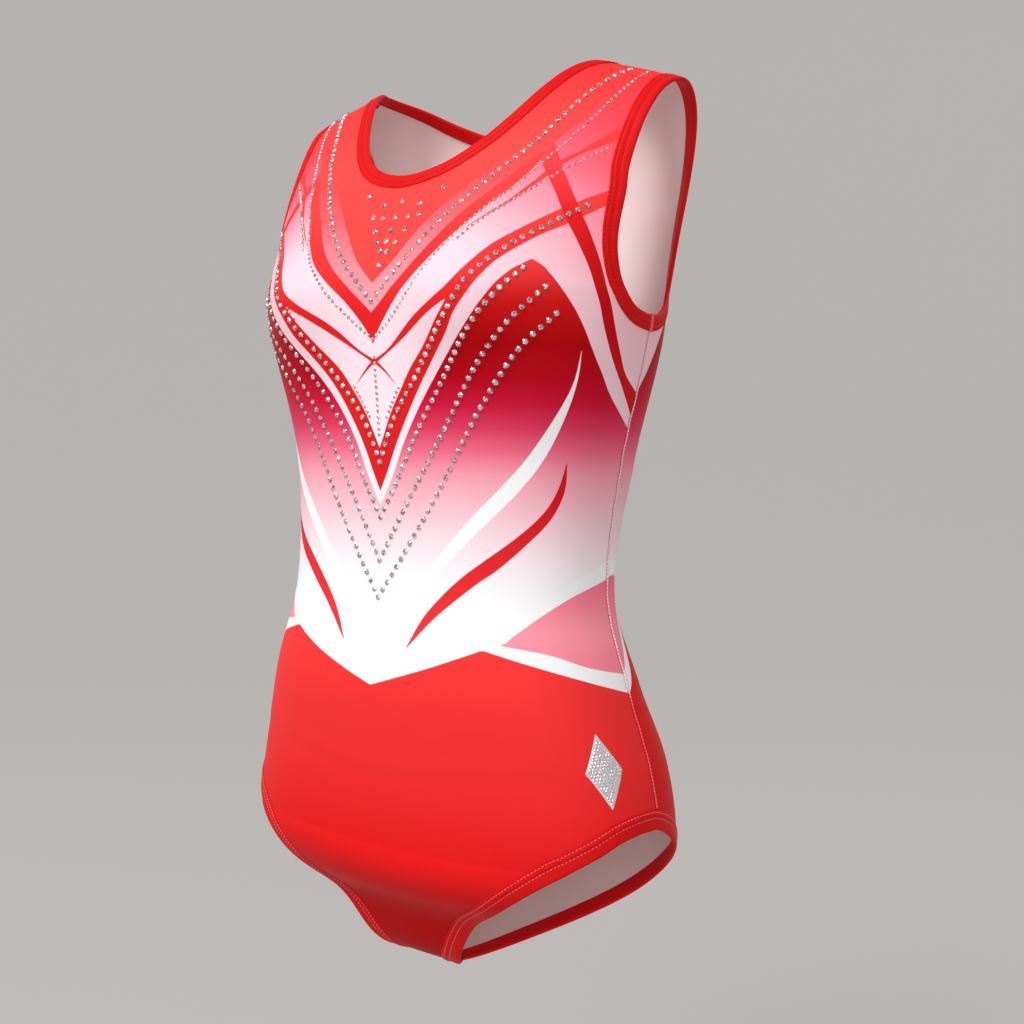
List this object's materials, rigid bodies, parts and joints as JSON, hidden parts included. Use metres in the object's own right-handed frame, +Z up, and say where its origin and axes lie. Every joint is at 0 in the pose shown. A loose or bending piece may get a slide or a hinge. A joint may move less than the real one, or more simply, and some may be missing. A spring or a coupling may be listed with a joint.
{
  "type": "gymnastics leotard",
  "caption": "Sleeveless gymnastics leotard in worn shape: printed stretch front and back, round neck, bound armholes, hemmed high leg openings and rows of sewn-on stones.",
  "frame": {"origin": "on the centre line, level with the points where the neckline meets the shoulder seams, midway between them", "axes": "+Z up towards the head, the front of the garment faces -Y, the wearer's left is +X"},
  "size_m": [0.312, 0.2129, 0.5856],
  "materials": {
    "printed_cloth": "satin stretch knit, printed in reds, pinks and white",
    "red_cloth": "satin stretch knit, plain red",
    "lining_cloth": "matte fine knit",
    "elastic": "matte",
    "red_thread": "twisted thread, matte",
    "pale_thread": "twisted thread, matte",
    "label_satin": "satin ribbon, blank",
    "stone": "faceted and foiled behind, clear"
  },
  "bodies": {
    "root": {"armhole_binding_left": "red_cloth", "armhole_binding_right": "red_cloth", "armhole_elastic_left": "elastic", "armhole_elastic_right": "elastic", "armhole_topstitch_left": "red_thread", "armhole_topstitch_right": "red_thread", "back_panel": "printed_cloth", "care_label": "label_satin", "crotch_seam": "red_thread", "front_panel": "printed_cloth", "gusset_lining": "lining_cloth", "hip_motif": "stone", "leg_elastic_left": "elastic", "leg_elastic_right": "elastic", "leg_hem_left": "red_cloth", "leg_hem_right": "red_cloth", "leg_topstitch_left": "red_thread", "leg_topstitch_right": "red_thread", "neck_binding": "red_cloth", "neck_elastic": "elastic", "neck_topstitch": "red_thread", "shoulder_seam_left": "red_thread", "shoulder_seam_right": "red_thread", "side_seam_left": "red_thread", "side_seam_right": "red_thread", "side_topstitch_left": "pale_thread", "side_topstitch_right": "pale_thread", "stone_film_yoke": "stone", "stone_row_armhole_left": "stone", "stone_row_armhole_right": "stone", "stone_row_band": "stone", "stone_row_centre": "stone", "stone_row_chevron": "stone", "stone_row_inner_left": "stone", "stone_row_inner_right": "stone", "stone_row_leaf_1": "stone", "stone_row_leaf_2": "stone", "stone_row_leaf_3": "stone", "stone_row_yoke": "stone"}
  },
  "joints": []
}
